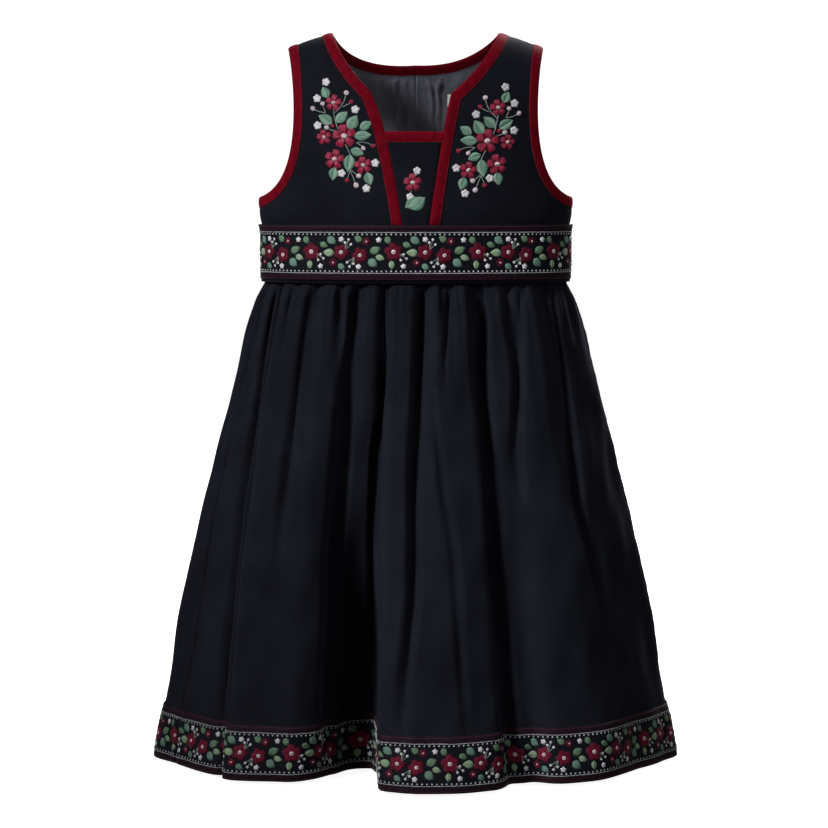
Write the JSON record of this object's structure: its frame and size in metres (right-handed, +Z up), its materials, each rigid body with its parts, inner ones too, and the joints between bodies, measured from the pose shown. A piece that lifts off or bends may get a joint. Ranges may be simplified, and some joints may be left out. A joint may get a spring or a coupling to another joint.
{
  "type": "child's sleeveless bunad dress",
  "caption": "Child's sleeveless folk dress, filled out with no wearer: bound V neck over an insert, embroidered bodice, ribbon band and gathered skirt with a ribbon hem.",
  "frame": {"origin": "middle of the line across the shoulders where the straps rest on the wearer", "axes": "+Z up, the front faces -Y, +X towards the right of someone looking at the front (the wearer's left)"},
  "size_m": [0.4784, 0.2854, 0.6512],
  "materials": {
    "wool": "matt",
    "velvet": "velvet",
    "band": "matt",
    "ribbon": "woven",
    "lining": "satin",
    "label": "woven",
    "zip_metal": "satin"
  },
  "bodies": {
    "dress": {"bodice_front_left": "wool", "bodice_front_right": "wool", "bodice_back_left": "wool", "bodice_back_right": "wool", "front_insert": "wool", "insert_binding": "velvet", "neck_binding_left": "velvet", "neck_binding_right": "velvet", "armhole_binding_left": "velvet", "armhole_binding_right": "velvet", "lining_back_left": "lining", "lining_back_right": "lining", "size_label": "label", "waistband_front": "band", "waistband_back_left": "band", "waistband_back_right": "band", "waist_ribbon_front": "ribbon", "waist_ribbon_back_left": "ribbon", "waist_ribbon_back_right": "ribbon", "skirt_front": "wool", "skirt_back_left": "wool", "skirt_back_right": "wool", "hem_ribbon_front": "ribbon", "hem_ribbon_back_left": "ribbon", "hem_ribbon_back_right": "ribbon", "zip_slider": "zip_metal"},
    "pull": {"zip_pull": "zip_metal"}
  },
  "joints": [
    {"name": "pull_hinge", "type": "hinge", "parent": "dress", "child": "pull", "pos_m": [0, 0.06865, -0.03563], "axis": [1, 0, 0], "range_deg": [0, 150]}
  ]
}
